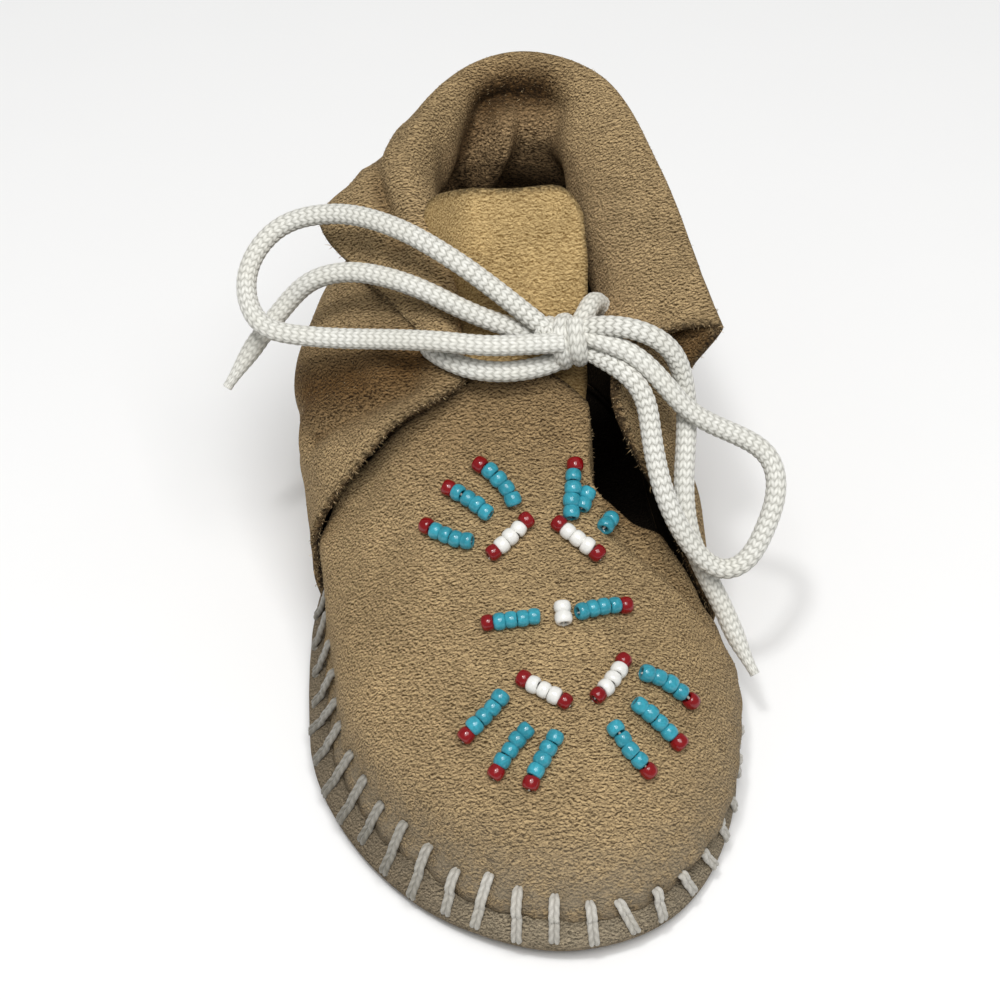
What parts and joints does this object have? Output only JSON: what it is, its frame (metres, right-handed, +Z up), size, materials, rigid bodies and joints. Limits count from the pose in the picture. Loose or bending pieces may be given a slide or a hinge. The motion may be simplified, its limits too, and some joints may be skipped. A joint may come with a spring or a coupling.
{
  "type": "baby moccasin",
  "caption": "Soft suede baby moccasin with a folded cuff, tongue, tied cord lace, bead rows on the vamp and a turned-up whip-stitched sole.",
  "frame": {"origin": "on the floor plane, under the middle of the box round sole, upper and tongue", "axes": "+Z up, -Y towards the toe, +X to the right of a viewer who faces the toe"},
  "size_m": [0.0847, 0.1308, 0.0682],
  "materials": {
    "suede_sole": "soft suede, napped",
    "suede_upper": "soft suede, napped",
    "suede_tongue": "golden suede, short nap",
    "lace_cord": "braided off-white cord, faint sheen",
    "beads_turquoise": "opaque glossy seed beads, a red one at the row's outer end",
    "beads_white": "opaque glossy seed beads, red at the chevrons' ends"
  },
  "bodies": {
    "root": {"sole": "suede_sole", "upper": "suede_upper", "tongue": "suede_tongue", "lace_knot": "lace_cord", "lace_bar_left": "lace_cord", "lace_bar_right": "lace_cord", "lace_loop_left": "lace_cord", "lace_loop_right": "lace_cord", "lace_end_left": "lace_cord", "lace_end_right": "lace_cord", "bead_fan_upper_left_1": "beads_turquoise", "bead_fan_upper_left_2": "beads_turquoise", "bead_fan_upper_left_3": "beads_turquoise", "bead_fan_upper_right_1": "beads_turquoise", "bead_fan_upper_right_2": "beads_turquoise", "bead_fan_upper_right_3": "beads_turquoise", "bead_chevron_upper_left": "beads_white", "bead_chevron_upper_right": "beads_white", "bead_bar_left": "beads_turquoise", "bead_bar_right": "beads_turquoise", "bead_pair_middle": "beads_white", "bead_chevron_lower_left": "beads_white", "bead_chevron_lower_right": "beads_white", "bead_fan_lower_left_1": "beads_turquoise", "bead_fan_lower_left_2": "beads_turquoise", "bead_fan_lower_left_3": "beads_turquoise", "bead_fan_lower_right_1": "beads_turquoise", "bead_fan_lower_right_2": "beads_turquoise", "bead_fan_lower_right_3": "beads_turquoise"}
  },
  "joints": []
}
